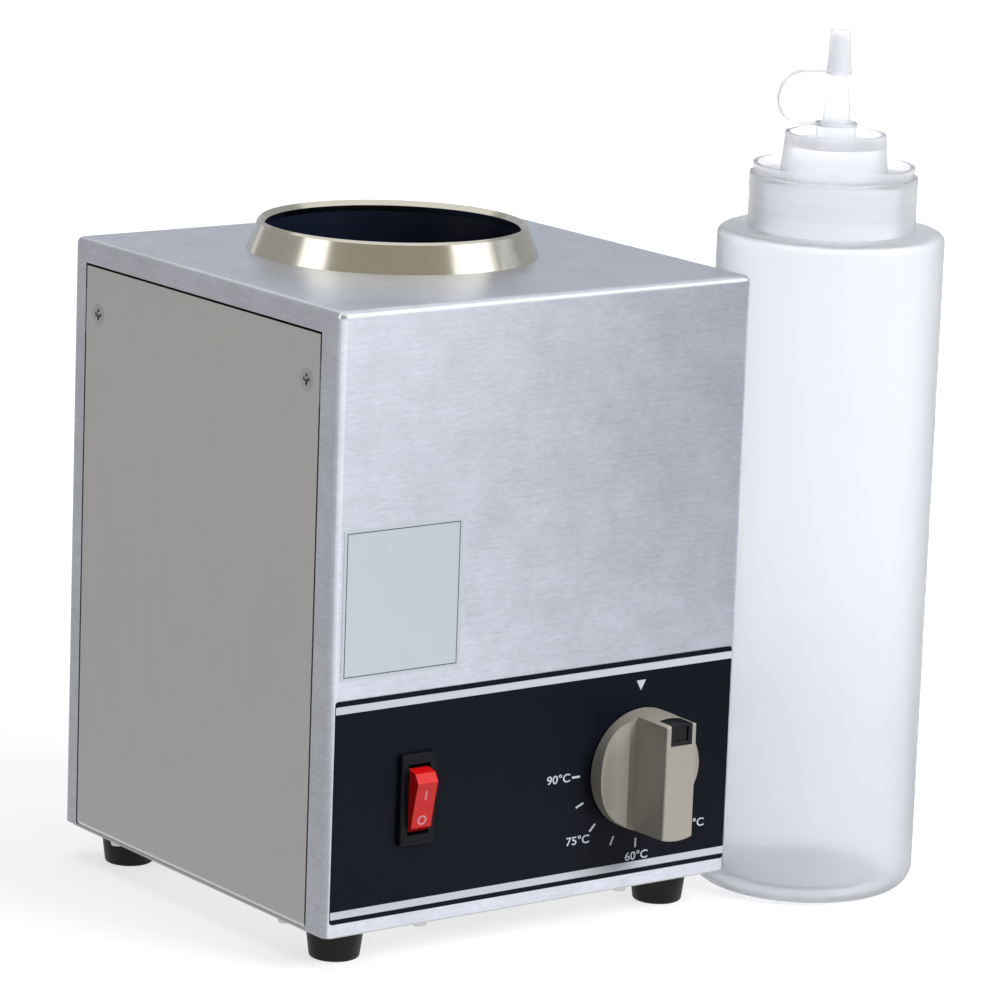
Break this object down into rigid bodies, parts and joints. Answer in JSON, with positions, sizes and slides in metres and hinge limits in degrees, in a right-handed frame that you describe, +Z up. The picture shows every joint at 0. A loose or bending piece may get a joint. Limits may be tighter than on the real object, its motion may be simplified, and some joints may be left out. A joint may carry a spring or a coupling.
{
  "type": "bottle topping warmer",
  "caption": "Box-shaped countertop warmer with a round heated well, a rocker switch and a thermostat knob, with its tall nozzle-capped squeeze bottle beside it.",
  "frame": {"origin": "on the table under the middle of the box that holds the warmer and its bottle", "axes": "+Z up, the front with the switch and the knob faces -Y, the bottle stands at +X of the warmer"},
  "size_m": [0.247, 0.188, 0.2954],
  "materials": {
    "housing_steel": "brushed stainless sheet",
    "well_coating": "dark coating on drawn steel",
    "base_steel": "zinc-plated sheet",
    "bracket_steel": "zinc-plated strip",
    "screw_steel": "zinc-plated",
    "heater_steel": "heat-tinted stainless over mica",
    "insulation_wool": "ceramic-fibre blanket",
    "label_film": "satin film",
    "knob_plastic": "fine matt moulding",
    "black_plastic": "satin moulding",
    "rocker_red": "gloss moulding",
    "terminal_white": "moulded nylon",
    "phenolic_brown": "moulded phenolic",
    "foot_rubber": "matt",
    "terminal_brass": "bright",
    "bulb_copper": "bare copper",
    "bottle_plastic": "translucent low-density polyethylene",
    "cap_plastic": "translucent low-density polyethylene"
  },
  "bodies": {
    "warmer": {"base_plate": "base_steel", "base_screws": "screw_steel", "bulb_clip": "bracket_steel", "capillary_tube": "bulb_copper", "collar_ring": "housing_steel", "control_overlay": "label_film", "earth_nut": "screw_steel", "earth_stud": "terminal_brass", "foot_front_left": "foot_rubber", "foot_front_right": "foot_rubber", "foot_nuts": "screw_steel", "foot_rear_left": "foot_rubber", "foot_rear_right": "foot_rubber", "foot_screws": "screw_steel", "heater_band": "heater_steel", "heater_clamp_screws": "screw_steel", "housing_shell": "housing_steel", "inlet_nuts": "screw_steel", "inlet_pins": "terminal_brass", "inlet_screws": "screw_steel", "insulation_sleeve": "insulation_wool", "power_inlet": "black_plastic", "side_panel_left": "housing_steel", "side_panel_right": "housing_steel", "side_panel_screws": "screw_steel", "switch_housing": "black_plastic", "switch_terminals": "terminal_brass", "terminal_block": "terminal_white", "terminal_screws": "screw_steel", "thermal_cutout": "phenolic_brown", "thermostat_body": "phenolic_brown", "thermostat_bulb": "bulb_copper", "thermostat_screws": "screw_steel", "well_bracket": "bracket_steel", "well_can": "well_coating"},
    "knob": {"knob": "knob_plastic", "knob_pointer": "black_plastic", "thermostat_spindle": "screw_steel"},
    "rocker": {"switch_rocker": "rocker_red"},
    "bottle": {"bottle_body": "bottle_plastic"},
    "cap": {"bottle_cap": "cap_plastic", "tip_strap": "cap_plastic"},
    "tip_cap": {"tip_cap": "cap_plastic"}
  },
  "joints": [
    {"name": "knob_turn", "type": "hinge", "parent": "warmer", "child": "knob", "pos_m": [0.0021, -0.0685, 0.0534], "axis": [0, 1, 0], "range_deg": [0, 270]},
    {"name": "rocker_tilt", "type": "hinge", "parent": "warmer", "child": "rocker", "pos_m": [-0.0894, -0.0684, 0.0551], "axis": [-1, 0, 0], "range_deg": [0, 24]},
    {"name": "bottle_lift", "type": "slide", "parent": "warmer", "child": "bottle", "axis": [0, 0, 1], "range_m": [0, 0.25]},
    {"name": "cap_lift", "type": "slide", "parent": "bottle", "child": "cap", "axis": [0, 0, 1], "range_m": [0, 0.06]},
    {"name": "tip_cap_pull", "type": "slide", "parent": "cap", "child": "tip_cap", "axis": [0, 0, 1], "range_m": [0, 0.016], "deforming": ["tip_strap"]}
  ]
}
